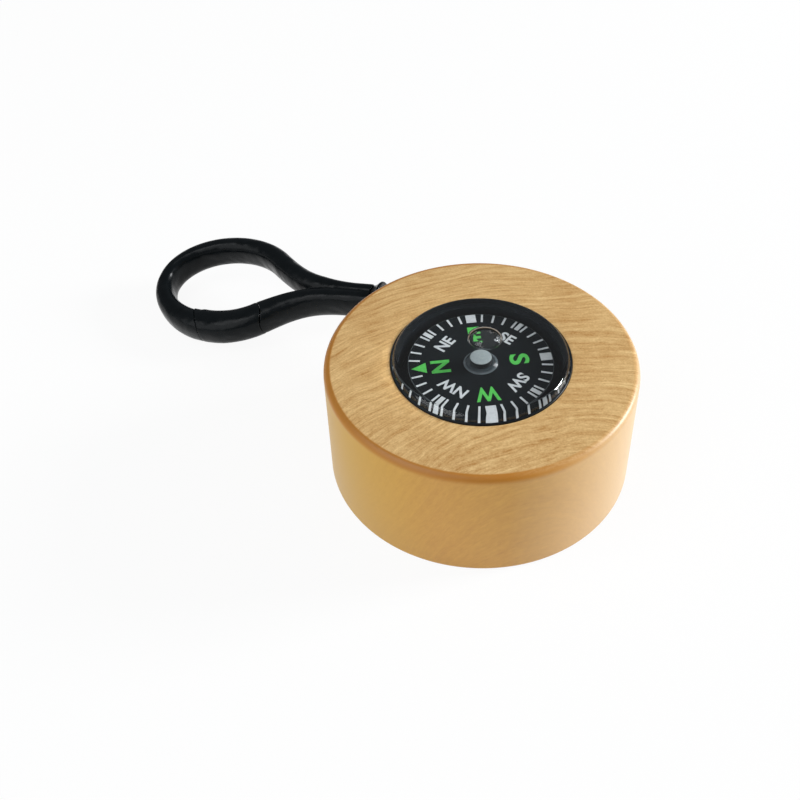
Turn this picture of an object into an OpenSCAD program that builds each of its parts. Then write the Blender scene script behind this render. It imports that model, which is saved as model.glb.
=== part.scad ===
// Pocket compass: a liquid-filled button compass set in a turned wooden disc, with a swivelling
// snap hook on its side. Millimetres. The origin is the centre of the disc's underside, +Z up.

/* [Wooden disc] */
// Diameter of the disc
disc_d = 35; // [32:1:42]
// Height of the disc
disc_h = 15; // [14:0.5:20]
// Rounding of the upper edge
disc_top_round = 0.8; // [0.3:0.1:1.5]
// Rounding of the lower edge
disc_base_round = 0.4; // [0.2:0.1:1.2]

/* [Capsule] */
// Diameter of the sealed capsule
capsule_d = 20; // [19.5:0.1:22]
// Height of the capsule, cup and lens together
capsule_h = 8; // [7.5:0.1:9]
// Height of the lens above the wood
lens_proud = 0.95; // [0.6:0.05:1.4]
// Thickness of the lens over the dial
lens_t = 0.8; // [0.6:0.05:1]
// Rounding of the lens shoulder
shoulder_r = 1; // [0.6:0.1:1.2]
// Height of the lens rim, shoulder included
lens_rim_h = 2.2; // [1.8:0.1:2.6]
// Wall of the cup
cup_wall = 0.9; // [0.7:0.05:1.2]
// Floor of the cup
cup_floor = 1; // [0.8:0.1:1.3]
// Wall of the lens spigot that enters the cup
spigot_wall = 0.6; // [0.4:0.05:0.8]
// Depth of the lens spigot
spigot_h = 0.8; // [0.5:0.1:1.2]
// Thickness of the adhesive pad under the capsule
pad_t = 0.3; // [0.2:0.05:0.5]
// Diameter of the filling hole in the cup's floor
fill_d = 1.6; // [1.2:0.1:2]
// Width of the air bubble under the lens
bubble_d = 3.9; // [3:0.1:4.2]
// Depth of the air bubble
bubble_h = 0.9; // [0.6:0.05:1]

/* [Compass card] */
// Gap between the card's edge and the lens spigot
card_gap = 0.38; // [0.3:0.02:0.8]
// Thickness of the card
card_t = 0.4; // [0.3:0.05:0.6]
// Depth of the card's face under the top of the lens
card_depth = 2.65; // [2.4:0.05:2.9]
// Compass bearing of the card's north, measured from +X
north_az = 184; // [0:1:359]
// Thickness of the printed ink
ink_t = 0.04; // [0.03:0.01:0.08]
// Length of a scale mark
tick_l = 1.2; // [0.8:0.1:1.6]
// Width of a scale mark
tick_w = 0.26; // [0.15:0.01:0.35]
// Width of the wide marks between the main points
tick_wide_w = 0.5; // [0.3:0.05:0.6]
// Width of the block at each main point
block_w = 1.15; // [0.8:0.05:1.4]
// Length of the block at each main point
block_l = 1.55; // [1:0.05:2]
// Length of the north arrow
arrow_l = 1.65; // [1:0.05:2]
// Width of the north arrow
arrow_w = 1.6; // [1:0.05:2]
// Length of the bar magnet
magnet_l = 12; // [8:0.5:14]
// Width of the bar magnet
magnet_w = 4; // [3.4:0.2:5]
// Thickness of the bar magnet
magnet_t = 1; // [0.6:0.1:1.4]
// Diameter of the bushing's flange
flange_d = 4; // [3.4:0.1:4.6]
// Thickness of the bushing's flange
flange_t = 0.35; // [0.25:0.05:0.5]
// Diameter of the bushing's body through the card
bushing_d = 2.4; // [2.2:0.05:2.8]
// Diameter of the cap on the bushing
cap_d = 2.8; // [2.4:0.1:3.2]
// Running gap between the cap and the lens
cap_gap = 0.15; // [0.1:0.01:0.25]
// Diameter of the jewel
jewel_d = 1.6; // [1.2:0.05:1.8]
// Thickness of the jewel
jewel_t = 0.8; // [0.6:0.05:1]
// Diameter of the pivot needle
needle_d = 0.7; // [0.5:0.05:0.8]
// Diameter of the boss that holds the needle
boss_d = 3; // [2:0.1:4]

/* [Screw eye and jump ring] */
// Direction of the screw eye from the disc's centre, measured from +X
eye_az = 102.9; // [90:0.1:120]
// Hole of the screw eye
eye_hole_d = 2.4; // [2.2:0.05:3]
// Wire of the screw eye
eye_wire_d = 0.9; // [0.8:0.05:1.1]
// Diameter of the screw eye's shank over its thread
shank_d = 1.7; // [1.3:0.1:2]
// Length of the shank in the wood
shank_l = 6; // [4:0.5:7]
// Pitch of the thread on the shank
thread_pitch = 0.8; // [0.6:0.05:1.2]
// Inner diameter of the jump ring
ring_hole_d = 3.85; // [3.85:0.05:4.5]
// Wire of the jump ring
ring_wire_d = 0.7; // [0.6:0.05:0.8]

/* [Swivel] */
// Hole of the swivel eye
swivel_hole_d = 2.3; // [2.2:0.05:2.8]
// Wall around the hole of the swivel eye
swivel_wall = 0.9; // [0.8:0.05:1.2]
// Thickness of the swivel eye's plate
swivel_t = 1.4; // [1.2:0.1:2]
// Web between the hole and the collar
swivel_web = 0.5; // [0.4:0.05:1]
// Diameter of the collar
collar_d = 5; // [4.8:0.1:6]
// Thickness of the collar
collar_t = 1.2; // [0.8:0.1:1.6]
// Diameter of the stem in the hook's neck
stem_d = 2; // [1.6:0.1:2.2]
// Diameter of the stem's head
head_d = 2.7; // [2.5:0.05:2.8]
// Length of the stem up to its head
stem_l = 3.5; // [2.5:0.1:4]

/* [Snap hook] */
// Diameter of the neck at the collar
neck_d = 4; // [3.8:0.1:4.6]
// Length of the round neck
neck_l = 5; // [4.9:0.1:6]
// Thickness of the hook, square to its loop
hook_t = 4.1; // [3.4:0.1:4.6]
// Half length of the loop's oval, at the middle of its arms
loop_a = 9; // [8:0.25:12]
// Half width of the loop's oval, at the middle of its arms
loop_b = 6.5; // [6:0.25:9]
// Distance from the collar to the middle of the oval
loop_x = 21.2; // [20.5:0.1:26]
// Width of the closed arm
arm_w = 2.9; // [2.4:0.1:3.4]
// Width of the hook at its tip
tip_w = 2.4; // [2:0.1:3.2]
// Width of the hook's nose
nose_w = 3; // [2.6:0.1:3.4]
// Offset of each arm from the middle of the neck
arm_offset = 0.7; // [0.4:0.05:0.9]

/* [Gate] */
// Width of the gate and its arm at the joint
gate_w = 3.75; // [3.2:0.05:4]
// Height by which the gate's tip stands proud inside the loop
gate_lip = 0.4; // [0.2:0.05:0.6]
// Radius of the gate's round end
gate_end_r = 2.8; // [2.4:0.1:3.2]
// Gap at the gate's ends
gate_gap = 0.12; // [0.08:0.01:0.2]
// Thickness of the arm's tongue inside the gate
tongue_t = 1.4; // [1:0.1:1.8]
// Radius of the tongue's round end
tongue_r = 1.1; // [0.9:0.05:1.3]
// Diameter of the gate pin
pin_d = 1; // [0.8:0.05:1.1]
// Thickness of the gate's leaf spring
leaf_t = 0.2; // [0.15:0.01:0.25]
// Height of the gate's leaf spring
leaf_h = 1.1; // [0.8:0.05:1.2]

/* [Rest pose] */
// Direction of the jump ring, measured from +X
ring_az = 175.4; // [165:0.1:185]
// Droop of the jump ring
ring_drop = 4.6; // [0:0.1:8]
// Direction of the hook, measured from +X
hook_az = 159.3; // [150:0.1:175]
// Droop of the hook
hook_drop = 7.8; // [2:0.1:7.9]
// Roll of the hook about its neck
hook_roll = -12.5; // [-16:0.1:0]

/* [Clearances] */
// Radial clearance of the capsule in its pocket
capsule_fit = 0.08; // [0.04:0.01:0.15]
// Gap between fixed pieces that fit together
seat_gap = 0.02; // [0.01:0.01:0.04]
// Radial clearance of running pieces
run_gap = 0.05; // [0.03:0.01:0.08]
// Gap kept around the pieces that move in the liquid
fluid_gap = 0.15; // [0.1:0.01:0.2]
// Slack of the loose links
link_slack = 0.06; // [0.04:0.01:0.1]

/* [Hidden] */
$fn = 72;
over = 1;

// Heights of the capsule in the disc
lens_top = disc_h + lens_proud;
capsule_z = lens_top - capsule_h;
pocket_z = capsule_z - pad_t;
seam_z = lens_top - lens_rim_h;
capsule_r = capsule_d / 2;
cup_inner_r = capsule_r - cup_wall;
spigot_r = cup_inner_r - seat_gap;
lens_inner_r = spigot_r - spigot_wall;
card_r = lens_inner_r - card_gap;
lens_under = lens_top - lens_t;
cup_floor_z = capsule_z + cup_floor;
pad_r = capsule_r - cup_wall;
fill_at_share = 0.62;
fill_lip = cup_floor / 4;

// Heights of the card and its bearing
card_top = lens_top - card_depth;
card_under = card_top - card_t;
magnet_under = card_under - magnet_t;
cap_top = lens_under - cap_gap;
flange_top = card_top + flange_t;
jewel_top = card_top;
jewel_under = jewel_top - jewel_t;
cone_h = jewel_t * 0.6;
cone_r = jewel_d * 0.3;
needle_tip_z = jewel_under + cone_h - run_gap;
needle_point = needle_d * 2;
boss_h = (magnet_under - cup_floor_z) * 0.55;
bushing_under = magnet_under;

// Scale printed on the card: marks every ten degrees
mark_step = 10;
mark_r = card_r - tick_w / 2;
main_points = [90, 180, 270];
between_points = [45, 135, 225, 315];

// Air bubble, as the cap of a ball
ball_r = (pow(bubble_d / 2, 2) + pow(bubble_h, 2)) / (2 * bubble_h);
bubble_az = 75;
bubble_at = cap_d / 2 + bubble_d / 2 + fluid_gap * 2;

// Screw eye, jump ring and swivel, from the wood outwards
disc_r = disc_d / 2;
eye_ring_r = (eye_hole_d + eye_wire_d) / 2;
eye_out_r = eye_hole_d / 2 + eye_wire_d;
eye_gap = 0.3;
eye_at = disc_r + eye_gap + eye_out_r;
ring_r = (ring_hole_d + ring_wire_d) / 2;
eye_pull = eye_hole_d / 2 - ring_wire_d / 2 - link_slack;
swivel_pull = ring_wire_d / 2 + link_slack;
swivel_out_r = swivel_hole_d / 2 + swivel_wall;
ring_cut = ring_wire_d / 8;
head_l = stem_d * 0.3;

function aim(az, drop) = [cos(drop) * cos(az), cos(drop) * sin(az), -sin(drop)];
eye_c = concat(eye_at * [cos(eye_az), sin(eye_az)], disc_h / 2);
ring_c = eye_c + (eye_pull + ring_r) * aim(ring_az, ring_drop);
swivel_reach = swivel_pull + swivel_web + collar_t;
hook_o = ring_c + ring_r * aim(ring_az, ring_drop) + swivel_reach * aim(hook_az, hook_drop);

// Centre line of the hook's arms, in the hook's own plane: x from the collar outwards
corner_power = 2.6;
section_n = 20;
join_phi = 135;
nose_phi = 78.5;
pivot_phi = 120;
slant = 35;
neck_gap = 3 * run_gap;
arm_start = [neck_l * 0.64, arm_offset];
join_pt = [loop_x + loop_a * cos(join_phi), loop_b * sin(join_phi)];
join_dir = [loop_a * sin(join_phi), -loop_b * cos(join_phi)] / norm([loop_a * sin(join_phi), loop_b * cos(join_phi)]);
handle_out = loop_a * 5 / 9;
handle_in = loop_a * 0.6;
arm_curve = [arm_start, arm_start + [handle_in, 0], join_pt - handle_out * join_dir, join_pt];

function curve_at(c, t) = pow(1 - t, 3) * c[0] + 3 * t * pow(1 - t, 2) * c[1]
    + 3 * t * t * (1 - t) * c[2] + pow(t, 3) * c[3];
function slope_at(c, t) = 3 * pow(1 - t, 2) * (c[1] - c[0]) + 6 * t * (1 - t) * (c[2] - c[1])
    + 3 * t * t * (c[3] - c[2]);
function heading(v) = atan2(v[1], v[0]);
function mix(a, b, t) = a + (b - a) * t;

// A station is [x, y, heading, width, offset across the arm]
function arm_station(t, w) = let (p = curve_at(arm_curve, t)) [p[0], p[1], heading(slope_at(arm_curve, t)), w, 0];
function oval_station(phi, w, off) = [loop_x + loop_a * cos(phi), loop_b * sin(phi),
    heading([loop_a * sin(phi), -loop_b * cos(phi)]), w, off];
function flipped(s) = [s[0], -s[1], -s[2], s[3], -s[4]];
function leaned(s, angle) = [s[0], s[1], s[2] + angle, s[3] / cos(angle), s[4]];

arm_steps = 14;
oval_steps = 26;
neck_w = arm_w * 0.9;
// The closed arm runs from the neck along the far side, round the tip and to the nose
far_path = concat(
    [for (i = [0:arm_steps - 1]) flipped(arm_station(i / arm_steps, mix(neck_w, arm_w, i / arm_steps)))],
    [for (i = [0:oval_steps]) let (t = i / oval_steps, phi = mix(-join_phi, nose_phi, t),
        w = phi < 0 ? mix(arm_w, tip_w, (phi + join_phi) / join_phi) : mix(tip_w, nose_w, phi / nose_phi),
        s = oval_station(phi, w, 0)) [s[0], s[1], s[2] + 180, s[3], s[4]]]);
far_end = leaned(far_path[len(far_path) - 1], slant);
stub_steps = 5;
near_path = concat(
    [for (i = [0:arm_steps - 1]) arm_station(i / arm_steps, mix(neck_w, gate_w, pow(i / arm_steps, 2)))],
    [for (i = [0:stub_steps]) oval_station(mix(join_phi, pivot_phi, i / stub_steps), gate_w, 0)]);
gate_steps = 12;
gate_from = 8;
tip_phi = nose_phi + gate_gap / loop_a * 180 / PI / cos(slant);
gate_path = concat(
    [for (i = [gate_from:arm_steps - 1]) arm_station(i / arm_steps, gate_w)],
    [for (i = [0:gate_steps]) let (t = i / gate_steps, lip = gate_lip * t)
        oval_station(mix(join_phi, tip_phi, t), mix(gate_w, nose_w, t) + lip, -lip / 2)]);
gate_end = leaned(gate_path[len(gate_path) - 1], slant);
pivot = oval_station(pivot_phi, gate_w, 0);

// Inside the gate's joint: the slot over the tongue, the pin's ends and the leaf spring's line
slot_t = tongue_t + 4 * run_gap;
pin_top = slot_t / 2 + (hook_t - slot_t) / 4;
pin_under = hook_t / 2 - 2 * run_gap;
leaf_y = (pin_d / 2 + run_gap + tongue_r) / 2;

function squared(v) = sign(v) * pow(abs(v), 2 / corner_power);
function section(s, h) = [for (k = [0:section_n - 1]) let (a = 360 * k / section_n,
    y = squared(cos(a)) * s[3] / 2 + s[4]) [s[0] - sin(s[2]) * y, s[1] + cos(s[2]) * y, squared(sin(a)) * h / 2]];

module sweep(path, h) {
    n = section_n;
    last = len(path) - 1;
    points = [for (s = path) each section(s, h)];
    sides = [for (i = [0:last - 1], k = [0:n - 1]) let (a = i * n + k, b = i * n + (k + 1) % n, c = b + n, d = a + n)
        each [[a, d, c], [a, c, b]]];
    caps = [[for (k = [0:n - 1]) k], [for (k = [n - 1:-1:0]) last * n + k]];
    polyhedron(points, concat(sides, caps));
}

module at_hook() {
    translate(hook_o) rotate([hook_roll, hook_drop, hook_az]) children();
}

module at_pivot() {
    at_hook() translate([pivot[0], pivot[1], 0]) rotate([0, 0, pivot[2]]) children();
}

module round_edged(r, z0, z1, low_r, top_r) {
    rotate_extrude() union() {
        translate([0, z0]) square([r - max(low_r, top_r), z1 - z0]);
        translate([0, z0 + low_r]) square([r, z1 - z0 - low_r - top_r]);
        translate([0, z0]) square([r - low_r, z1 - z0 - top_r]);
        translate([0, z0 + low_r]) square([r - top_r, z1 - z0 - low_r]);
        translate([r - low_r, z0 + low_r]) circle(low_r);
        translate([r - top_r, z1 - top_r]) circle(top_r);
    }
}

module ring(r, wire_r) {
    rotate_extrude() translate([r, 0]) circle(wire_r, $fn = 32);
}

// Turned disc: a pocket for the capsule from above and a pilot hole for the screw eye in the side
module wood_disc() {
    color("burlywood") difference() {
        round_edged(disc_r, 0, disc_h, disc_base_round, disc_top_round);
        translate([0, 0, pocket_z]) cylinder(r = capsule_r + capsule_fit, h = disc_h);
        translate([0, 0, disc_h / 2]) rotate([0, 90, eye_az])
            translate([0, 0, disc_r - shank_l]) cylinder(r = shank_d / 2 + seat_gap, h = shank_l + over, $fn = 32);
    }
}

// Double-sided adhesive disc that holds the capsule in the pocket
module capsule_pad() {
    color("dimgray") translate([0, 0, pocket_z]) cylinder(r = pad_r, h = pad_t);
}

// Black cup of the capsule, with the boss for the needle and the stepped filling hole
module capsule_cup() {
    color([0.1, 0.1, 0.11]) difference() {
        union() {
            difference() {
                translate([0, 0, capsule_z]) cylinder(r = capsule_r, h = seam_z - capsule_z);
                translate([0, 0, cup_floor_z]) cylinder(r = cup_inner_r, h = capsule_h);
            }
            translate([0, 0, capsule_z]) cylinder(r = boss_d / 2, h = cup_floor + boss_h);
        }
        translate([0, 0, cup_floor_z]) cylinder(r = needle_d / 2, h = capsule_h, $fn = 32);
        fill_hole(seat_gap);
    }
}

module fill_hole(gap) {
    translate([cup_inner_r * fill_at_share, 0, 0]) {
        translate([0, 0, capsule_z - gap]) cylinder(r = fill_d * 0.75 + gap, h = fill_lip + gap, $fn = 32);
        translate([0, 0, capsule_z]) cylinder(r = fill_d / 2 + gap, h = cup_floor + gap, $fn = 32);
    }
}

// Plug that closes the filling hole
module fill_plug() {
    color([0.16, 0.16, 0.17]) fill_hole(0);
}

// Hardened needle on which the card turns
module pivot_needle() {
    color("silver") {
        translate([0, 0, cup_floor_z]) cylinder(r = needle_d / 2, h = needle_tip_z - needle_point - cup_floor_z, $fn = 32);
        translate([0, 0, needle_tip_z - needle_point])
            cylinder(r1 = needle_d / 2, r2 = needle_d / 16, h = needle_point, $fn = 32);
    }
}

// Clear lens: flat top, rounded shoulder, and a spigot that enters the cup
module capsule_lens() {
    color([0.8, 0.9, 0.95, 0.35]) difference() {
        union() {
            round_edged(capsule_r, seam_z, lens_top, seat_gap, shoulder_r);
            translate([0, 0, seam_z - spigot_h]) cylinder(r = spigot_r, h = spigot_h + shoulder_r);
        }
        translate([0, 0, seam_z - spigot_h - over]) cylinder(r = lens_inner_r, h = lens_under - seam_z + spigot_h + over);
    }
}

// Clear damping liquid: fills the capsule around the space in which the card turns
module damping_fluid() {
    low_z = cup_floor_z + seat_gap;
    spigot_z = seam_z - spigot_h - seat_gap;
    turn_r = sqrt(pow(magnet_l, 2) + pow(magnet_w, 2)) / 2 + fluid_gap;
    color([0.85, 0.92, 0.95, 0.2]) difference() {
        union() {
            translate([0, 0, low_z]) cylinder(r = cup_inner_r - seat_gap, h = spigot_z - low_z);
            translate([0, 0, low_z]) cylinder(r = lens_inner_r - seat_gap, h = lens_under - seat_gap - low_z);
        }
        cylinder(r = boss_d / 2 + seat_gap, h = cup_floor_z + boss_h + seat_gap);
        cylinder(r = bushing_d / 2 + fluid_gap, h = lens_top);
        translate([0, 0, magnet_under - fluid_gap]) cylinder(r = turn_r, h = magnet_t + 2 * fluid_gap);
        translate([0, 0, card_under - fluid_gap])
            cylinder(r = card_r + fluid_gap, h = card_t + ink_t + 2 * fluid_gap);
        translate([0, 0, card_top]) cylinder(r = flange_d / 2 + fluid_gap, h = flange_t + fluid_gap);
        translate([0, 0, card_top]) cylinder(r = cap_d / 2 + fluid_gap, h = lens_proud + card_depth);
        rotate([0, 0, bubble_az]) translate([bubble_at, 0, lens_under - bubble_h + ball_r]) sphere(ball_r);
    }
}

// Black card
module dial_card() {
    color([0.13, 0.15, 0.16]) difference() {
        translate([0, 0, card_under]) cylinder(r = card_r, h = card_t);
        translate([0, 0, card_under - over]) cylinder(r = bushing_d / 2 + seat_gap, h = card_t + 2 * over, $fn = 48);
    }
}

module mark(bearing, l, w) {
    rotate([0, 0, north_az - bearing]) translate([mark_r - l, -w / 2, card_top]) cube([l, w, ink_t]);
}

// White printed scale: fine marks, wide marks between the main points, and blocks at three of them
module dial_ticks() {
    color("whitesmoke") {
        for (b = [mark_step:mark_step:360 - mark_step])
            if (len(search(b, main_points)) == 0) mark(b, tick_l, tick_w);
        for (b = between_points) mark(b, tick_l, tick_wide_w);
        for (b = main_points) mark(b, block_l, block_w);
    }
}

// Green printed arrow at north
module north_mark() {
    base = mark_r - tick_w - arrow_l;
    color("limegreen") rotate([0, 0, north_az]) translate([base, 0, card_top]) linear_extrude(ink_t)
        polygon([[0, -arrow_w / 2], [arrow_l, 0], [0, arrow_w / 2]]);
}

// Bar magnet under the card, along its north and south
module card_magnet() {
    color("slategray") rotate([0, 0, north_az]) difference() {
        translate([-magnet_l / 2, -magnet_w / 2, magnet_under]) cube([magnet_l, magnet_w, magnet_t]);
        translate([0, 0, magnet_under - over])
            cylinder(r = bushing_d / 2 + seat_gap, h = magnet_t + 2 * over, $fn = 48);
    }
}

// Clear bushing: flange on the card, body through card and magnet, seat for the jewel from below
module hub_bushing() {
    color([0.75, 0.8, 0.82, 0.6]) difference() {
        union() {
            translate([0, 0, card_top]) cylinder(r = flange_d / 2, h = flange_t);
            translate([0, 0, bushing_under]) cylinder(r = bushing_d / 2, h = flange_top - bushing_under, $fn = 48);
        }
        translate([0, 0, bushing_under - over])
            cylinder(r = jewel_d / 2 + seat_gap, h = jewel_top - bushing_under + over, $fn = 48);
    }
}

// Grey cap on the bushing, which keeps the card on its needle when the compass is turned over
module hub_cap() {
    color("darkgray") translate([0, 0, flange_top]) cylinder(r = cap_d / 2, h = cap_top - flange_top);
}

// Jewel with the conical recess that rides on the needle
module jewel_cup() {
    color([0.75, 0.25, 0.35]) difference() {
        translate([0, 0, jewel_under]) cylinder(r = jewel_d / 2, h = jewel_t, $fn = 48);
        translate([0, 0, jewel_under]) cylinder(r1 = cone_r, r2 = needle_d / 16, h = cone_h, $fn = 48);
    }
}

// Steel screw eye: closed eye lying flat, shank with a cut thread in the wood
module screw_eye() {
    root_r = shank_d * 0.34;
    tip_l = shank_d;
    turns = floor((shank_l - tip_l - seat_gap) / thread_pitch);
    color("silver") {
        translate(eye_c) ring(eye_ring_r, eye_wire_d / 2);
        translate([0, 0, disc_h / 2]) rotate([0, 90, eye_az]) {
            translate([0, 0, disc_r - shank_l + tip_l])
                cylinder(r = root_r, h = shank_l - tip_l + eye_gap + eye_wire_d / 2, $fn = 32);
            translate([0, 0, disc_r - shank_l + seat_gap]) cylinder(r1 = root_r / 5, r2 = root_r, h = tip_l, $fn = 32);
            for (i = [0:turns - 1]) translate([0, 0, disc_r - shank_l + tip_l + i * thread_pitch]) {
                cylinder(r1 = root_r, r2 = shank_d / 2, h = thread_pitch / 2, $fn = 32);
                translate([0, 0, thread_pitch / 2]) cylinder(r1 = shank_d / 2, r2 = root_r, h = thread_pitch / 4, $fn = 32);
            }
        }
    }
}

// Jump ring, standing upright in the screw eye, with its butted ends on top
module jump_ring() {
    color("silver") translate(ring_c) rotate([90, 0, ring_az]) rotate([0, 0, -ring_drop]) difference() {
        ring(ring_r, ring_wire_d / 2);
        translate([-ring_cut / 2, 0, -ring_wire_d]) cube([ring_cut, ring_r + ring_wire_d, 2 * ring_wire_d]);
    }
}

// Swivel eye: eye on the jump ring, collar, and a headed stem that turns in the hook's neck
module swivel_eye() {
    eye_x = -collar_t - swivel_web - swivel_hole_d / 2;
    color([0.09, 0.1, 0.11]) at_hook() {
        difference() {
            union() {
                translate([eye_x, 0, -swivel_t / 2]) cylinder(r = swivel_out_r, h = swivel_t);
                translate([eye_x, -swivel_out_r, -swivel_t / 2])
                    cube([-eye_x - collar_t + seat_gap, 2 * swivel_out_r, swivel_t]);
            }
            translate([eye_x, 0, -swivel_t]) cylinder(r = swivel_hole_d / 2, h = 2 * swivel_t, $fn = 48);
        }
        rotate([0, 90, 0]) {
            translate([0, 0, -collar_t]) cylinder(r = collar_d / 2, h = collar_t);
            translate([0, 0, -seat_gap]) cylinder(r = stem_d / 2, h = stem_l + 2 * seat_gap, $fn = 48);
            translate([0, 0, stem_l]) cylinder(r = head_d / 2, h = head_l / 2, $fn = 48);
            translate([0, 0, stem_l + head_l / 2]) cylinder(r1 = head_d / 2, r2 = stem_d / 2, h = head_l / 2, $fn = 48);
        }
    }
}

// Hook: neck with the swivel's bore, closed arm round to the nose, and the gate's arm with its tongue
module hook_body() {
    head_room = head_l + 2 * run_gap;
    blend_l = neck_l * 0.4;
    color([0.08, 0.09, 0.1]) {
        at_hook() difference() {
            union() {
                sweep(concat([for (i = [0:len(far_path) - 2]) far_path[i]], [far_end]), hook_t);
                difference() {
                    sweep(near_path, hook_t);
                    translate([pivot[0], pivot[1], -hook_t]) cylinder(r = gate_end_r + gate_gap, h = 2 * hook_t);
                }
                rotate([0, 90, 0]) {
                    translate([0, 0, neck_gap]) cylinder(r = neck_d / 2, h = neck_l - neck_gap);
                    translate([0, 0, neck_l]) cylinder(r1 = neck_d / 2, r2 = neck_d / 3, h = blend_l);
                }
            }
            rotate([0, 90, 0]) {
                cylinder(r = stem_d / 2 + run_gap, h = stem_l, $fn = 48);
                translate([0, 0, stem_l - run_gap]) cylinder(r = head_d / 2 + run_gap, h = head_room, $fn = 48);
            }
        }
        at_pivot() tongue();
    }
}

module tongue() {
    root = gate_end_r + gate_w / 3;
    difference() {
        union() {
            translate([-root, -tongue_r, -tongue_t / 2]) cube([root, 2 * tongue_r, tongue_t]);
            translate([0, 0, -tongue_t / 2]) cylinder(r = tongue_r, h = tongue_t, $fn = 48);
        }
        translate([0, 0, -tongue_t]) cylinder(r = pin_d / 2 + run_gap, h = 2 * tongue_t, $fn = 48);
        translate([-gate_end_r, leaf_y - leaf_t / 2 - seat_gap, -leaf_h / 2 - seat_gap])
            cube([2 * gate_end_r, leaf_t + 2 * seat_gap, leaf_h + 2 * seat_gap]);
    }
}

// Gate: bar that closes the loop, forked over the tongue at its round end
module gate() {
    color([0.1, 0.11, 0.12]) difference() {
        at_hook() sweep(concat([for (i = [0:len(gate_path) - 2]) gate_path[i]], [gate_end]), hook_t);
        at_pivot() {
            difference() {
                translate([-3 * gate_end_r, -gate_w, -hook_t]) cube([3 * gate_end_r, 2 * gate_w, 2 * hook_t]);
                translate([0, 0, -hook_t]) cylinder(r = gate_end_r, h = 2 * hook_t);
            }
            translate([-2 * gate_end_r, -gate_w, -slot_t / 2]) cube([2 * gate_end_r, 2 * gate_w, slot_t]);
            translate([0, 0, -slot_t / 2]) cylinder(r = tongue_r + 3 * run_gap, h = slot_t, $fn = 48);
            translate([0, 0, -hook_t]) cylinder(r = pin_d / 2 + seat_gap, h = hook_t + pin_top + seat_gap, $fn = 48);
            translate([0, leaf_y - leaf_t / 2 - seat_gap, -leaf_h / 2 - run_gap])
                cube([gate_end_r * 1.5 + run_gap, leaf_t + 2 * seat_gap, leaf_h + 2 * run_gap]);
        }
    }
}

// Pin of the gate, pressed in from below into a blind hole
module gate_pin() {
    color("silver") at_pivot() translate([0, 0, -pin_under])
        cylinder(r = pin_d / 2, h = pin_under + pin_top, $fn = 48);
}

// Leaf spring: held in the tongue's slit, its free end in the gate's pocket
module gate_spring() {
    color("lightsteelblue") at_pivot() translate([-gate_end_r + seat_gap, leaf_y - leaf_t / 2, -leaf_h / 2])
        cube([gate_end_r * 2.5 - seat_gap, leaf_t, leaf_h]);
}

wood_disc();
capsule_pad();
capsule_cup();
fill_plug();
pivot_needle();
capsule_lens();
damping_fluid();
dial_card();
dial_ticks();
north_mark();
card_magnet();
hub_bushing();
hub_cap();
jewel_cup();
screw_eye();
jump_ring();
swivel_eye();
hook_body();
gate();
gate_pin();
gate_spring();
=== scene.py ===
# A pocket compass: a sealed, liquid-filled button compass set in a turned wooden disc, with a black
# snap hook linked to the side of the disc. Sizes are in millimetres until a mesh is finished.
import math

import bmesh
import bpy
from mathutils import Matrix, Vector


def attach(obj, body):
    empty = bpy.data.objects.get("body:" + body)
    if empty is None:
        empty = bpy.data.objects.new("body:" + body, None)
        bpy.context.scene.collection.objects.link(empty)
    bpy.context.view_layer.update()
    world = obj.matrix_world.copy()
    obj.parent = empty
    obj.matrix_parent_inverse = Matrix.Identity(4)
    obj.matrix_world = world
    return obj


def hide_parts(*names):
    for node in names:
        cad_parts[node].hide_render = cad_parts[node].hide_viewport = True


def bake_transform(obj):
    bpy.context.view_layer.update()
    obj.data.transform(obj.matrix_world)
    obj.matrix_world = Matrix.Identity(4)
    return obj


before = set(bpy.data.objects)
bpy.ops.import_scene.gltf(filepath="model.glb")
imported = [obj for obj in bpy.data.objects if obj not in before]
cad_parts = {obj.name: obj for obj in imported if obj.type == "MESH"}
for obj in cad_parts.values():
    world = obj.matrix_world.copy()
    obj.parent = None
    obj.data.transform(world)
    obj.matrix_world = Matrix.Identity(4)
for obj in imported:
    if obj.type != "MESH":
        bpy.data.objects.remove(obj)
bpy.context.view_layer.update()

# Turned disc. A blank of maple, close-grained and pale honey, turned on a lathe, bored from above
# for the capsule and from the side for the screw eye. Its edges are eased and it is lacquered.
MM = 0.001
DISC_R, DISC_H = 17.5, 15.0
TOP_ROUND, BASE_ROUND = 0.8, 0.4
POCKET_R, POCKET_Z, POCKET_EASE = 10.08, 7.65, 0.05
EYE_AZ = math.radians(102.9)
PILOT_R, PILOT_DEPTH, CUT_PAST = 0.87, 6.0, 1.0
PITH = (9.0, -34.0, 7.5)
RING_SPACING, RING_SWAY, RING_LEAN = 0.8, 3.0, 0.45


def to_linear(colour):
    """An sRGB hex colour as linear red, green, blue and 1."""
    values = [int(colour[i:i + 2], 16) / 255 for i in (1, 3, 5)]
    return [v / 12.92 if v <= 0.04045 else ((v + 0.055) / 1.055) ** 2.4 for v in values] + [1.0]


def add_node(tree, kind, inputs=None, **settings):
    """Adds a node; inputs gives each socket a value or the socket that feeds it."""
    node = tree.nodes.new(kind)
    for name, value in settings.items():
        setattr(node, name, value)
    for key, value in (inputs or {}).items():
        if isinstance(value, bpy.types.NodeSocket):
            tree.links.new(value, node.inputs[key])
        else:
            node.inputs[key].default_value = value
    return node


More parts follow.
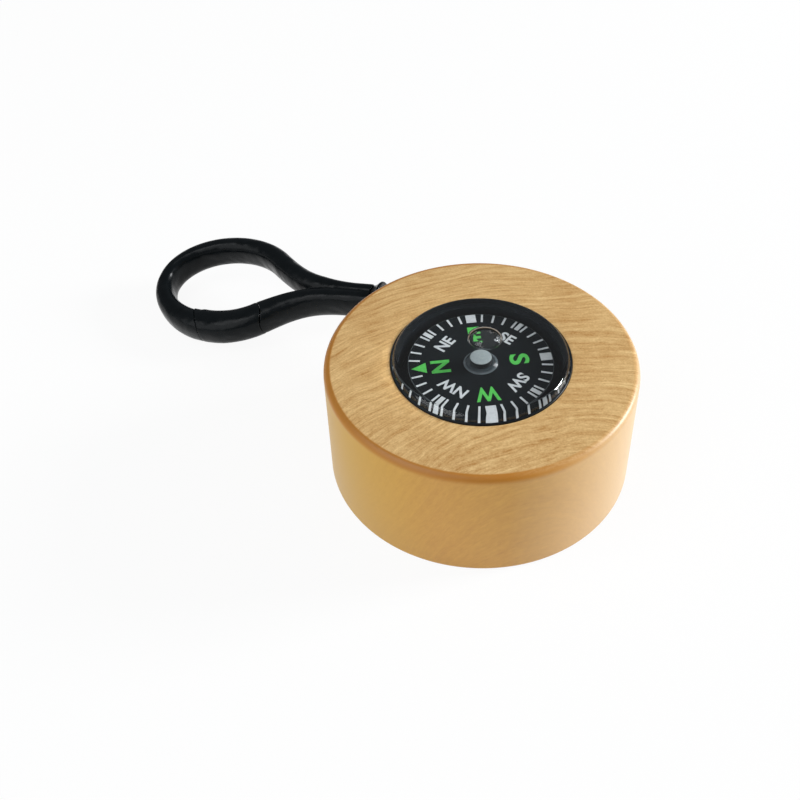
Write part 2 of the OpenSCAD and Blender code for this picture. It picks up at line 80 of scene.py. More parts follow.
def start_material(name, colour, roughness, **shader):
    """A material, its tree, its Principled shader and its Object coordinates.

    shader gives other sockets, with _ for a space. A Scale of 1000 is one grain a millimetre.
    """
    mat = bpy.data.materials.new(name)
    mat.use_nodes = True
    mat.diffuse_color = to_linear(colour)
    tree = mat.node_tree
    surface = tree.nodes["Principled BSDF"]
    surface.inputs["Base Color"].default_value = to_linear(colour)
    surface.inputs["Roughness"].default_value = roughness
    for key, value in shader.items():
        surface.inputs[key.replace("_", " ")].default_value = value
    place = add_node(tree, "ShaderNodeTexCoord").outputs["Object"]
    return mat, tree, surface, place


def from_axis(tree, place):
    """The distance from the Z axis in millimetres, for a pattern that goes round it."""
    flat = add_node(tree, "ShaderNodeMapping", {"Vector": place, "Scale": (1000, 1000, 0)})
    far = add_node(tree, "ShaderNodeVectorMath", {0: flat.outputs[0]}, operation="LENGTH")
    return far.outputs["Value"]


def arc(x, z, radius, start, end, steps):
    """Points of an arc in a lathe profile, from start to end in degrees."""
    turns = [math.radians(start + (end - start) * i / steps) for i in range(steps + 1)]
    return [(x + radius * math.cos(t), z + radius * math.sin(t)) for t in turns]


def revolve(profile, steps=192):
    """Turns a profile of (radius, height) points round the Z axis; a radius of 0 closes it."""
    bm = bmesh.new()
    rings = []
    for r, z in profile:
        turns = [2 * math.pi * i / steps for i in range(steps if r else 1)]
        rings.append([bm.verts.new((r * math.cos(t), r * math.sin(t), z)) for t in turns])
    for low, high in zip(rings, rings[1:]):
        for i in range(steps):
            j = (i + 1) % steps
            corners = (low, i), (low, j), (high, j), (high, i)
            bm.faces.new(list(dict.fromkeys(ring[k % len(ring)] for ring, k in corners)))
    return bm


def finish(bm, name, mat, body, place=Matrix.Identity(4), sharp=35.0, stands_for=(),
        has_void=False):
    """Makes the piece in metres, smooth but for edges over the sharp angle.

    A blended piece has no body. One with a void inside comes with its faces already turned.
    """
    if not has_void:
        bmesh.ops.recalc_face_normals(bm, faces=bm.faces)
    bm.transform(Matrix.Scale(MM, 4) @ place)
    for face in bm.faces:
        face.smooth = True
    for edge in bm.edges:
        edge.smooth = not (edge.is_manifold and edge.calc_face_angle(0) > math.radians(sharp))
    mesh = bpy.data.meshes.new(name)
    bm.to_mesh(mesh)
    bm.free()
    mesh.materials.append(mat)
    piece = bpy.data.objects.new(name, mesh)
    bpy.context.scene.collection.objects.link(piece)
    if body:
        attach(piece, body)
    if stands_for:
        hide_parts(*stands_for)
    return piece


def scratch(bm):
    """A mesh as a temporary object, in millimetres."""
    mesh = bpy.data.meshes.new("scratch")
    bmesh.ops.recalc_face_normals(bm, faces=bm.faces)
    bm.to_mesh(mesh)
    bm.free()
    made = bpy.data.objects.new("scratch", mesh)
    bpy.context.scene.collection.objects.link(made)
    return made


def settle(made):
    """The temporary object's mesh with its modifiers worked in; the object itself goes."""
    bpy.context.view_layer.update()
    worked = made.evaluated_get(bpy.context.evaluated_depsgraph_get())
    bm = bmesh.new()
    bm.from_mesh(worked.to_mesh())
    worked.to_mesh_clear()
    bpy.data.objects.remove(made)
    return bm


def cut(bm, *cutters):
    """The mesh with each cutter's volume taken out."""
    body = scratch(bm)
    tools = [scratch(c) for c in cutters]
    for tool in tools:
        boolean = body.modifiers.new("Cut", "BOOLEAN")
        boolean.operation = "DIFFERENCE"
        boolean.solver = "EXACT"
        boolean.object = tool
    made = settle(body)
    for tool in tools:
        bpy.data.objects.remove(tool)
    return made


def rod(radius, z0, z1, place=Matrix.Identity(4), steps=64):
    """A round bar between two heights, then placed."""
    bm = revolve([(0, z0), (radius, z0), (radius, z1), (0, z1)], steps)
    bm.transform(place)
    return bm


outer_wall = (arc(DISC_R - BASE_ROUND, BASE_ROUND, BASE_ROUND, -90, 0, 6)
    + arc(DISC_R - TOP_ROUND, DISC_H - TOP_ROUND, TOP_ROUND, 0, 90, 12))
pocket = [(POCKET_R + POCKET_EASE, DISC_H), (POCKET_R, DISC_H - POCKET_EASE), (POCKET_R, POCKET_Z)]
disc = revolve([(0, 0)] + outer_wall + pocket + [(0, POCKET_Z)], 288)
towards_eye = (Matrix.Translation((0, 0, DISC_H / 2)) @ Matrix.Rotation(EYE_AZ, 4, "Z")
    @ Matrix.Rotation(math.pi / 2, 4, "Y"))
disc = cut(disc, rod(PILOT_R, DISC_R - PILOT_DEPTH, DISC_R + CUT_PAST, towards_eye))

# Clear lacquer over maple: a satin honey surface with wide soft highlights. The grain is drawn a
# little coarser than the real one, so that it shows.
maple, tree, surface, place = start_material("lacquered maple", "#CBA46C", 0.5,
    Specular_IOR_Level=0.3, Coat_Weight=0.6, Coat_Roughness=0.4)
wood_mm = add_node(tree, "ShaderNodeMapping", {"Vector": place,
    "Scale": (1000, 1000, 1000)}).outputs[0]
# Patterns with no direction: slow waves of 11 mm, clouds of 8 mm, and pores drawn as 0.2 mm dots
wave, clouds, pores = (add_node(tree, "ShaderNodeTexNoise", {"Vector": wood_mm, "Scale": scale,
    "Detail": 2.0, "Roughness": fine}).outputs["Fac"]
    for scale, fine in ((0.09, 0.45), (0.13, 0.5), (4.6, 0.6)))
# Growth rings are wide arcs round a pith outside the disc, bent by the wave
from_pith = add_node(tree, "ShaderNodeVectorMath", {0: wood_mm, 1: PITH},
    operation="SUBTRACT").outputs[0]
pith_xyz = add_node(tree, "ShaderNodeSeparateXYZ", {0: from_pith}).outputs
flat_pith = add_node(tree, "ShaderNodeVectorMath", {0: from_pith, 1: (1, 1, 0)},
    operation="MULTIPLY").outputs[0]
pith_far = add_node(tree, "ShaderNodeVectorMath", {0: flat_pith}, operation="LENGTH").outputs[1]
waved = add_node(tree, "ShaderNodeMath", {0: wave, 1: RING_SWAY, 2: pith_far},
    operation="MULTIPLY_ADD").outputs[0]
ring_at = add_node(tree, "ShaderNodeMath", {0: pith_xyz[2], 1: RING_LEAN, 2: waved},
    operation="MULTIPLY_ADD").outputs[0]
rings = add_node(tree, "ShaderNodeTexNoise", {"W": ring_at, "Scale": 1 / RING_SPACING,
    "Detail": 4.0, "Roughness": 0.62}, noise_dimensions="1D").outputs["Fac"]
# Fibres run along the rings: streaks 0.2 mm wide and some 4 mm long
bearing = add_node(tree, "ShaderNodeMath", {0: pith_xyz[0], 1: pith_xyz[1]},
    operation="ARCTAN2").outputs[0]
streaks = [add_node(tree, "ShaderNodeMath", {0: way, 1: rate}, operation="MULTIPLY").outputs[0]
    for way, rate in ((ring_at, 5.4), (bearing, 12.0), (pith_xyz[2], 1.4))]
fibre_at = add_node(tree, "ShaderNodeCombineXYZ", dict(enumerate(streaks))).outputs[0]
fibres = add_node(tree, "ShaderNodeTexNoise", {"Vector": fibre_at, "Scale": 1.0, "Detail": 4.0,
    "Roughness": 0.62}).outputs["Fac"]
# Rays show as pale flecks a third of a millimetre wide
fleck_at = add_node(tree, "ShaderNodeMapping", {"Vector": fibre_at, "Scale": (0.42, 2.6, 0.7)})
flecks = add_node(tree, "ShaderNodeTexNoise", {"Vector": fleck_at.outputs[0], "Scale": 1.0,
    "Detail": 3.0, "Roughness": 0.6}).outputs["Fac"]
figure = add_node(tree, "ShaderNodeMath", {0: rings, 1: 0.8}, operation="MULTIPLY").outputs[0]
for part, weight in ((fibres, 1.3), (flecks, 0.7), (clouds, 0.5)):
    figure = add_node(tree, "ShaderNodeMath", {0: part, 1: weight, 2: figure},
        operation="MULTIPLY_ADD").outputs[0]
face_figure = add_node(tree, "ShaderNodeMath", {0: pores, 1: 0.8, 2: figure},
    operation="MULTIPLY_ADD").outputs[0]
# The turned side is sanded finer than the face, so its figure shows less
axis_far = from_axis(tree, place)
wood_xyz = add_node(tree, "ShaderNodeSeparateXYZ", {0: wood_mm}).outputs
on_side = add_node(tree, "ShaderNodeMapRange", {"Value": axis_far, "From Min": 17.1,
    "From Max": 17.4}).outputs[0]
shades = []
for pattern, low, high, dark, light in ((face_figure, 1.55, 2.55, "#B07C3A", "#EDC98C"),
        (figure, 0.7, 2.6, "#BC822C", "#DCA645")):
    pale = add_node(tree, "ShaderNodeMapRange", {"Value": pattern, "From Min": low,
        "From Max": high}).outputs[0]
    shades.append(add_node(tree, "ShaderNodeMix", {"Factor": pale, "A": to_linear(dark),
        "B": to_linear(light)}, data_type="RGBA").outputs["Result"])
face_wood, side_wood = shades
# The side runs from yellow heartwood at -X to a pale beige at +X, a painted wash of light
for begins, ends, most, colour in ((-6.0, -15.0, 0.92, "#CB9A14"), (1.5, 17.5, 0.7, "#DCC39E")):
    part = add_node(tree, "ShaderNodeMapRange", {"Value": wood_xyz[0], "From Min": begins,
        "From Max": ends, "To Max": most}).outputs[0]
    side_wood = add_node(tree, "ShaderNodeMix", {"Factor": part, "A": side_wood,
        "B": to_linear(colour)}, data_type="RGBA").outputs["Result"]
wood = add_node(tree, "ShaderNodeMix", {"Factor": on_side, "A": face_wood, "B": side_wood},
    data_type="RGBA").outputs["Result"]
# The eased upper edge turns amber, faded towards +X where the lamp's light is painted over it
at_edge = add_node(tree, "ShaderNodeMapRange", {"Value": axis_far, "From Min": 16.64,
    "From Max": 16.88}, interpolation_type="SMOOTHSTEP").outputs[0]
up_high = add_node(tree, "ShaderNodeMapRange", {"Value": wood_xyz[2], "From Min": 13.9,
    "From Max": 14.7, "To Max": 0.95}, interpolation_type="SMOOTHSTEP").outputs[0]
lit_side_fade = add_node(tree, "ShaderNodeMapRange", {"Value": wood_xyz[0], "From Min": 1.5,
    "From Max": 12.5, "To Min": 1.0, "To Max": 0.14}).outputs[0]
amber_part = at_edge
for part in (up_high, lit_side_fade):
    amber_part = add_node(tree, "ShaderNodeMath", {0: amber_part, 1: part},
        operation="MULTIPLY").outputs[0]
edged = add_node(tree, "ShaderNodeMix", {"Factor": amber_part, "A": wood,
    "B": to_linear("#B67312")}, data_type="RGBA").outputs["Result"]
tree.links.new(edged, surface.inputs["Base Color"])
relief = add_node(tree, "ShaderNodeBump", {"Height": fibres, "Strength": 0.1, "Distance": 0.00004})
tree.links.new(relief.outputs[0], surface.inputs["Normal"])
finish(disc, "turned_disc", maple, "case", stands_for=["wood_disc"])

# Adhesive pad. A disc punched from thin black foam, sticky on both sides, that holds the capsule in
# its pocket. Nothing of it shows once the capsule is in.
PAD_R, PAD_T = 9.1, 0.3
# Closed cells of 0.2 mm give polyethylene foam a dull, even, very dark grey
foam, tree, surface, place = start_material("black polyethylene foam", "#3A3A3C", 0.85)
cells = add_node(tree, "ShaderNodeTexVoronoi", {"Vector": place, "Scale": 4500.0})
cell_relief = add_node(tree, "ShaderNodeBump", {"Height": cells.outputs["Distance"],
    "Strength": 0.3, "Distance": 0.00005})
tree.links.new(cell_relief.outputs[0], surface.inputs["Normal"])
pad_top = POCKET_Z + PAD_T
pad = revolve([(0, POCKET_Z), (PAD_R, POCKET_Z), (PAD_R, pad_top), (0, pad_top)])
finish(pad, "foam_pad", foam, "case", stands_for=["capsule_pad"])

# Capsule cup. Injection-moulded black ABS with a boss for the needle in its floor; the matt inside
# makes the dark ring round the card. A plug of the same plastic closes the filling hole.
CUP_Z, SEAM_Z = 7.95, 13.75
CUP_R, CUP_BORE, CUP_FLOOR, CUP_EASE = 10.0, 9.1, 1.0, 0.15
BOSS_R, BOSS_Z, NEEDLE_R = 1.5, 10.57, 0.35
LIP_R, LIP_BORE, LIP_Z, LIP_EASE = 10.05, 9.83, 15.17, 0.04
LIP_STARTS, LIP_IS_FULL = 0.3, 0.2


def dress(node, mat):
    """Gives a CAD node that no piece replaces its material."""
    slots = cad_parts[node].data.materials
    slots.clear()
    slots.append(mat)


# Moulded ABS: deep black with a satin gloss, slightly uneven from the mould's grain of 0.5 mm
abs_black, tree, surface, place = start_material("moulded black ABS", "#14191D", 0.38,
    Specular_IOR_Level=0.2)
mould = add_node(tree, "ShaderNodeTexNoise", {"Vector": place, "Scale": 2200.0,
    "Detail": 2.0}).outputs["Fac"]
mould_relief = add_node(tree, "ShaderNodeBump", {"Height": mould, "Strength": 0.08,
    "Distance": 0.00003})
tree.links.new(mould_relief.outputs[0], surface.inputs["Normal"])
dull = add_node(tree, "ShaderNodeMapRange", {"Value": mould, "To Min": 0.3, "To Max": 0.46})
tree.links.new(dull.outputs[0], surface.inputs["Roughness"])
floor_z = CUP_Z + CUP_FLOOR
cup = revolve([(0, CUP_Z), (CUP_R - CUP_EASE, CUP_Z), (CUP_R, CUP_Z + CUP_EASE),
    (CUP_R, SEAM_Z - LIP_STARTS), (LIP_R, SEAM_Z - LIP_IS_FULL), (LIP_R, LIP_Z - LIP_EASE),
    (LIP_R - LIP_EASE, LIP_Z), (LIP_BORE, LIP_Z), (LIP_BORE, SEAM_Z), (CUP_BORE, SEAM_Z),
    (CUP_BORE, floor_z), (BOSS_R, floor_z), (BOSS_R, BOSS_Z), (NEEDLE_R, BOSS_Z),
    (NEEDLE_R, floor_z), (0, floor_z)])
finish(cup, "capsule_cup_moulding", abs_black, "case", stands_for=["capsule_cup"])
dress("fill_plug", abs_black)

# Needle, magnet and jewel. A ground steel point in the boss, a bar of blued magnet steel under the
# card, and a red synthetic jewel that rides on the point. The card hides all three.


def mottled(tree, place, scale, dark, light, detail=2.0):
    """A colour that wanders between two shades in spots."""
    spots = add_node(tree, "ShaderNodeTexNoise", {"Vector": place, "Scale": scale,
        "Detail": detail}).outputs["Fac"]
    return add_node(tree, "ShaderNodeMix", {"Factor": spots, "A": to_linear(dark),
        "B": to_linear(light)}, data_type="RGBA").outputs["Result"]


# Ground steel: bright, with scratches 0.1 mm apart along its length
steel, tree, surface, place = start_material("ground steel", "#B9BABD", 0.25, Metallic=1.0)
lay = add_node(tree, "ShaderNodeMapping", {"Vector": place, "Scale": (9000, 9000, 300)})
scratches = add_node(tree, "ShaderNodeTexNoise", {"Vector": lay.outputs[0], "Scale": 1.0,
    "Detail": 2.0}).outputs["Fac"]
ground = add_node(tree, "ShaderNodeMapRange", {"Value": scratches, "To Min": 0.18, "To Max": 0.36})
tree.links.new(ground.outputs[0], surface.inputs["Roughness"])
# Heat-blued steel: a dark metal whose blue comes and goes in patches a millimetre wide
blued, tree, surface, place = start_material("blued magnet steel", "#4A4E57", 0.4, Metallic=1.0)
bluing = mottled(tree, place, 900.0, "#3C4250", "#5B5F68", 3.0)
tree.links.new(bluing, surface.inputs["Base Color"])
# Polished ruby: a wet-looking dark red with a small hard highlight
ruby, tree, surface, place = start_material("polished synthetic ruby", "#A01834", 0.08, IOR=1.76)
flaws = mottled(tree, place, 1500.0, "#8E1230", "#B42040")
tree.links.new(flaws, surface.inputs["Base Color"])
dress("pivot_needle", steel)
dress("card_magnet", blued)
dress("jewel_cup", ruby)

# Compass card. A disc punched from black plastic sheet with a fine matt surface; its cut rim is
# painted paler, a painted highlight that draws the thin line round the scale.
CARD_R, CARD_TOP, CARD_T, CARD_HOLE, CARD_EASE = 8.1, 13.3, 0.4, 1.2, 0.06
# A matt card wetted by the oil: near black, with no highlight. Its tooth is drawn at 0.2 mm,
# coarser than the real one.
card_plastic, tree, surface, place = start_material("matt black card", "#15191C", 0.6,
    Specular_IOR_Level=0.05)
tooth = mottled(tree, place, 5200.0, "#0A0E11", "#13181B")
# Painted highlight: the rim is painted a paler grey
at_rim = add_node(tree, "ShaderNodeMapRange", {"Value": from_axis(tree, place),
    "From Min": 8.03, "From Max": 8.06, "To Max": 0.8}).outputs[0]
rim_highlight = add_node(tree, "ShaderNodeMix", {"Factor": at_rim, "A": tooth,
    "B": to_linear("#6E7679")}, data_type="RGBA").outputs["Result"]
tree.links.new(rim_highlight, surface.inputs["Base Color"])
card_low = CARD_TOP - CARD_T
card = revolve([(CARD_HOLE, card_low), (CARD_R - CARD_EASE, card_low),
    (CARD_R, card_low + CARD_EASE), (CARD_R, CARD_TOP - CARD_EASE), (CARD_R - CARD_EASE, CARD_TOP),
    (CARD_HOLE, CARD_TOP), (CARD_HOLE, card_low)])
bmesh.ops.remove_doubles(card, verts=card.verts, dist=0.0001)
finish(card, "compass_card", card_plastic, "card", stands_for=["dial_card"])

# Printed scale. White ink, pad-printed on the card: a mark every ten degrees, a wide one between
# the main points, and a block at east, south and west. Marks repeat round the card by a rule.
NORTH_AZ = 184.0
INK, SCALE_R, MARK_L, BLOCK_L = 0.03, 8.0, 1.25, 1.3


def printing_ink(name, colour, dark, light):
    """Pad-printing ink under oil: flat and matt, and uneven in spots of 0.3 mm."""
    ink, tree, surface, place = start_material(name, colour, 0.55, Specular_IOR_Level=0.05)
    tree.links.new(mottled(tree, place, 3800.0, dark, light), surface.inputs["Base Color"])
    return ink


def start_rule(name, *inputs):
    """A Geometry Nodes tree with these named inputs, and the sockets that give their values."""
    tree = bpy.data.node_groups.new(name, "GeometryNodeTree")
    for title, kind in inputs:
        tree.interface.new_socket(name=title, in_out="INPUT", socket_type="NodeSocket" + kind)
    tree.interface.new_socket(name="Geometry", in_out="OUTPUT", socket_type="NodeSocketGeometry")
    return tree, add_node(tree, "NodeGroupInput").outputs


def end_rule(tree, geometry, mat):
    """Ends the tree in Realize Instances and Set Material."""
    real = add_node(tree, "GeometryNodeRealizeInstances", {0: geometry})
    dressed = add_node(tree, "GeometryNodeSetMaterial", {"Geometry": real.outputs[0],
        "Material": mat})
    add_node(tree, "NodeGroupOutput", {0: dressed.outputs[0]})


def by_rule(tree, values, start=None):
    """The mesh that a geometry tree makes from these inputs, and from a start if it has one."""
    made = start or bpy.data.objects.new("by rule", bpy.data.meshes.new("by rule"))
    if not start:
        bpy.context.scene.collection.objects.link(made)
    rule = made.modifiers.new("Rule", "NODES")
    rule.node_group = tree
    sockets = {s.name: s.identifier for s in tree.interface.items_tree if s.in_out == "INPUT"}
    for name, value in values.items():
        rule[sockets[name]] = value
    bpy.context.view_layer.update()
    graph = bpy.context.evaluated_depsgraph_get()
    mesh = bpy.data.meshes.new_from_object(made.evaluated_get(graph), depsgraph=graph)
    bm = bmesh.new()
    bm.from_mesh(mesh)
    bpy.data.meshes.remove(mesh)
    bpy.data.objects.remove(made)
    return bm


def joined(*parts):
    """Several meshes as one, each part kept closed."""
    whole = bmesh.new()
    for part in parts:
        mesh = bpy.data.meshes.new("part")
        part.to_mesh(mesh)
        part.free()
        whole.from_mesh(mesh)
        bpy.data.meshes.remove(mesh)
    return whole


white_ink = printing_ink("white printing ink", "#C4C9CB", "#B4BABD", "#D2D6D7")
marks, given = start_rule("Marks round a dial", ("Count", "Int"), ("First angle", "Float"),
    ("Step", "Float"), ("Skip every", "Int"), ("Outer radius", "Float"), ("Length", "Float"),
    ("Width", "Float"), ("Height", "Float"), ("Ink", "Float"), ("Material", "Material"))
points = add_node(marks, "GeometryNodePoints", {"Count": given["Count"]})
index = add_node(marks, "GeometryNodeInputIndex").outputs[0]
turn = add_node(marks, "ShaderNodeMath", {0: index, 1: given["Step"], 2: given["First angle"]},
    operation="MULTIPLY_ADD").outputs[0]
middle_r = add_node(marks, "ShaderNodeMath", {0: given["Length"], 1: -0.5,
    2: given["Outer radius"]}, operation="MULTIPLY_ADD").outputs[0]
east, north = (add_node(marks, "ShaderNodeMath", {
    0: add_node(marks, "ShaderNodeMath", {0: turn}, operation=side).outputs[0], 1: middle_r},
    operation="MULTIPLY").outputs[0] for side in ("COSINE", "SINE"))
mark_at = add_node(marks, "ShaderNodeCombineXYZ", {0: east, 1: north, 2: given["Height"]})
placed = add_node(marks, "GeometryNodeSetPosition", {"Geometry": points.outputs[0],
    "Position": mark_at.outputs[0]})
mark_size = add_node(marks, "ShaderNodeCombineXYZ", {0: given["Length"], 1: given["Width"],
    2: given["Ink"]})
bar = add_node(marks, "GeometryNodeMeshCube", {"Size": mark_size.outputs[0]})
number = add_node(marks, "ShaderNodeMath", {0: index, 1: 1.0}, operation="ADD").outputs[0]
remainder = add_node(marks, "ShaderNodeMath", {0: number, 1: given["Skip every"]},
    operation="MODULO").outputs[0]
kept = add_node(marks, "FunctionNodeCompare", {"A": remainder, "B": 0.5}, data_type="FLOAT",
    operation="GREATER_THAN").outputs[0]
turned_by = add_node(marks, "ShaderNodeCombineXYZ", {2: turn})
facing = add_node(marks, "FunctionNodeEulerToRotation", {0: turned_by.outputs[0]})
copies = add_node(marks, "GeometryNodeInstanceOnPoints", {"Points": placed.outputs[0],
    "Selection": kept, "Instance": bar.outputs["Mesh"], "Rotation": facing.outputs[0]})
end_rule(marks, copies.outputs[0], given["Material"])
scale_marks = []
for count, first, step, length, width in (
        (35, 10, 10, MARK_L, 0.24), (4, 45, 90, MARK_L, 0.52), (3, 90, 90, BLOCK_L, 1.15)):
    scale_marks.append(by_rule(marks, {"Count": count, "Step": math.radians(-step),
        "First angle": math.radians(NORTH_AZ - first), "Skip every": 9, "Outer radius": SCALE_R,
        "Length": length, "Width": width, "Height": CARD_TOP + INK / 2, "Ink": INK,
        "Material": white_ink}))
finish(joined(*scale_marks), "printed_scale", white_ink, "card",
    stands_for=["dial_ticks"])

# Letters. White and green ink from the same printing, their tops towards the rim: the four main
# points in green, the four between them in white, and a green arrow at north.
MAIN_SIZE, MAIN_WEIGHT = 2.9, 0.08
SIDE_FOOT, SIDE_SIZE, SIDE_STRETCH, SIDE_WEIGHT = 4.35, 2.0, 0.95, 0.05
ARROW_TIP, ARROW_BASE, ARROW_HALF = 7.75, 6.08, 0.8


def letters(text, bearing, foot, size, stretch, weight):
    """Printed letters at a compass bearing, with their feet this far from the middle."""
    curve = bpy.data.curves.new("letters", "FONT")
    curve.body = text
    curve.align_x = "CENTER"
    curve.size = size
    curve.offset = weight
    curve.extrude = INK / 2
    curve.resolution_u = 6
    made = bpy.data.objects.new("letters", curve)
    bpy.context.scene.collection.objects.link(made)
    bm = settle(made)
    bmesh.ops.remove_doubles(bm, verts=bm.verts, dist=0.0005)
    azimuth = math.radians(NORTH_AZ - bearing)
    bm.transform(Matrix.Translation((0, 0, CARD_TOP + INK / 2))
        @ Matrix.Rotation(azimuth - math.pi / 2, 4, "Z") @ Matrix.Translation((0, foot, 0))
        @ Matrix.Diagonal((stretch, 1, 1, 1)))
    return bm


green_ink = printing_ink("green printing ink", "#5FC85A", "#46AC48", "#60C85F")
arrow = bmesh.new()
ends = []
for z in (CARD_TOP, CARD_TOP + INK):
    ends.append([arrow.verts.new((x, y, z)) for x, y in (
        (ARROW_BASE, -ARROW_HALF), (ARROW_TIP, 0), (ARROW_BASE, ARROW_HALF))])
arrow.faces.new(ends[0])
arrow.faces.new(ends[1][::-1])
for i in range(3):
    arrow.faces.new((ends[0][i], ends[1][i], ends[1][(i + 1) % 3], ends[0][(i + 1) % 3]))
arrow.transform(Matrix.Rotation(math.radians(NORTH_AZ), 4, "Z"))
main_points = [letters(text, bearing, foot, MAIN_SIZE, stretch, MAIN_WEIGHT)
    for text, bearing, foot, stretch in (
        ("N", 0, 3.5, 0.98), ("E", 90, 3.85, 1.15), ("S", 180, 3.35, 1.3), ("W", 270, 3.95, 0.82))]
finish(joined(arrow, *main_points), "green_print", green_ink, "card",
    stands_for=["north_mark"])
side_points = [letters(text, bearing, SIDE_FOOT, SIDE_SIZE, SIDE_STRETCH, SIDE_WEIGHT)
    for text, bearing in (("NE", 45), ("SE", 135), ("SW", 225), ("NW", 315))]
finish(joined(*side_points), "white_letters", white_ink, "card")

# Hub. A clear flanged bushing pressed through the card, and a grey moulded cap over it, which
# nearly meets the lens and so keeps the card on its needle.
BUSHING_R, BUSHING_LOW = 1.18, 12.9
FLANGE_R, FLANGE_T, FLANGE_FACE_R, FLANGE_SLOPE, FLANGE_EASE = 1.92, 0.35, 1.52, 0.31, 0.03
CAP_R, CAP_TOP, CAP_ROUND = 1.2, 15.0, 0.08
# Clear polystyrene over a black card looks dark grey, with a paler lip, which is a painted
# highlight, and one bright highlight on the flange's slope
clear_hub, tree, surface, place = start_material("clear polystyrene over black", "#3E4548", 0.1,
    Coat_Weight=1.0, Coat_Roughness=0.05)
swirl = mottled(tree, place, 700.0, "#22282B", "#394145")
at_lip = add_node(tree, "ShaderNodeMapRange", {"Value": from_axis(tree, place),
    "From Min": 1.62, "From Max": 1.8}).outputs[0]
lip_highlight = add_node(tree, "ShaderNodeMix", {"Factor": at_lip, "A": swirl,
    "B": to_linear("#545C60")}, data_type="RGBA").outputs["Result"]
tree.links.new(lip_highlight, surface.inputs["Base Color"])
flange_top = CARD_TOP + FLANGE_T
flange = revolve([(0, BUSHING_LOW), (BUSHING_R, BUSHING_LOW), (BUSHING_R, CARD_TOP),
    (FLANGE_R - FLANGE_EASE, CARD_TOP), (FLANGE_R, CARD_TOP + FLANGE_EASE),
    (FLANGE_R, flange_top - FLANGE_SLOPE), (FLANGE_FACE_R, flange_top), (0, flange_top)], 128)
finish(flange, "hub_flange", clear_hub, "card", sharp=18,
    stands_for=["hub_bushing"])
# Grey polystyrene: a flat mid grey face at 15 mm, and below it a wall painted near black as painted
# shade
cap_grey, tree, surface, place = start_material("moulded grey polystyrene", "#8D9799", 0.45,
    Specular_IOR_Level=0.1)
cap_height = add_node(tree, "ShaderNodeSeparateXYZ", {0: place}).outputs[2]
on_face = add_node(tree, "ShaderNodeMapRange", {"Value": cap_height, "From Min": 0.01488,
    "From Max": 0.01493}).outputs[0]
face_grey_wall_shade = add_node(tree, "ShaderNodeMix", {"Factor": on_face, "A": to_linear("#1C2022"),
    "B": mottled(tree, place, 3000.0, "#858F91", "#9CA5A6")}, data_type="RGBA").outputs["Result"]
tree.links.new(face_grey_wall_shade, surface.inputs["Base Color"])
cap_rim = arc(CAP_R - CAP_ROUND, CAP_TOP - CAP_ROUND, CAP_ROUND, 0, 90, 4)[1:]
cap = revolve([(0, flange_top), (CAP_R, flange_top), (CAP_R, CAP_TOP - CAP_ROUND)] + cap_rim
    + [(0, CAP_TOP)], 128)
finish(cap, "hub_cap_moulding", cap_grey, "card", stands_for=["hub_cap"])

# Lens and liquid. A clear moulded acrylic lens welded to the cup, and the clear oil under it, which
# bends light as the acrylic does, so the two are one body here. A bubble of air is left at the top.
LENS_TOP, LENS_T, FLAT_R, FLAT_EASE = 15.95, 0.8, 9.2, 0.05
EDGE_SLOPES, EDGE_STEPS = (0, 80), 14
# The body is let into the cup by these, so that no gap shows between them
WET, SET_IN, TUCK = 0.03, 0.02, 0.06
BUBBLE_AT, BUBBLE_R = (0.75, 3.25), 2.0
BUBBLE_MIDDLE, BUBBLE_SAG, BUBBLE_FLAT, BUBBLE_DISHED = 0.6, 0.7, 0.02, 0.08


def part_way(a, b, t):
    """The value at the share t of the way from a to b."""
    return a + (b - a) * t


# Clear acrylic and oil: bright and colourless, with a mirror gloss, and bent marks at its edge.
# Shadow rays pass straight through it, so that the dial under it is lit.
acrylic, tree, surface, place = start_material("clear acrylic and oil", "#FFFFFF", 0.0, IOR=1.49,
    Transmission_Weight=1.0)
through = add_node(tree, "ShaderNodeBsdfTransparent", {"Color": to_linear("#FCFDFD")})
ray = add_node(tree, "ShaderNodeLightPath")
seen = add_node(tree, "ShaderNodeMixShader", {0: ray.outputs["Is Shadow Ray"],
    1: surface.outputs[0], 2: through.outputs[0]})
tree.links.new(seen.outputs[0], tree.nodes["Material Output"].inputs["Surface"])
slopes = [math.radians(part_way(*EDGE_SLOPES, i / EDGE_STEPS)) for i in range(EDGE_STEPS + 1)]
out_by = (LIP_BORE - FLAT_R) / (math.sin(slopes[-1]) - math.sin(slopes[0]))
down_by = (LENS_TOP - LIP_Z + SET_IN) / (math.cos(slopes[0]) - math.cos(slopes[-1]))
lens_edge = [(FLAT_R + (math.sin(a) - math.sin(slopes[0])) * out_by,
    LENS_TOP - (math.cos(slopes[0]) - math.cos(a)) * down_by) for a in slopes]
clear_body = revolve([(0, floor_z - WET), (CUP_BORE + WET, floor_z - WET),
    (CUP_BORE + WET, SEAM_Z - WET), (LIP_BORE + SET_IN, SEAM_Z - WET),
    (LIP_BORE + SET_IN, LIP_Z - TUCK)] + lens_edge[::-1]
    + [(FLAT_R - FLAT_EASE, LENS_TOP), (0, LENS_TOP)], 256)
bmesh.ops.recalc_face_normals(clear_body, faces=clear_body.faces)
bubble_top = LENS_TOP - LENS_T
bubble_profile = [(0, bubble_top - BUBBLE_MIDDLE - BUBBLE_SAG)]
for a in range(5, 175, 5):
    r = BUBBLE_R * math.sin(math.radians(a))
    z = bubble_top - BUBBLE_MIDDLE - BUBBLE_SAG * math.cos(math.radians(a))
    if z < bubble_top - BUBBLE_FLAT:
        bubble_profile.append((r, z))
bubble_profile += [(bubble_profile[-1][0] - BUBBLE_DISHED, bubble_top), (0, bubble_top)]
bubble = revolve(bubble_profile, 96)
bmesh.ops.recalc_face_normals(bubble, faces=bubble.faces)
bmesh.ops.reverse_faces(bubble, faces=bubble.faces)
bubble.transform(Matrix.Translation((*BUBBLE_AT, 0)))
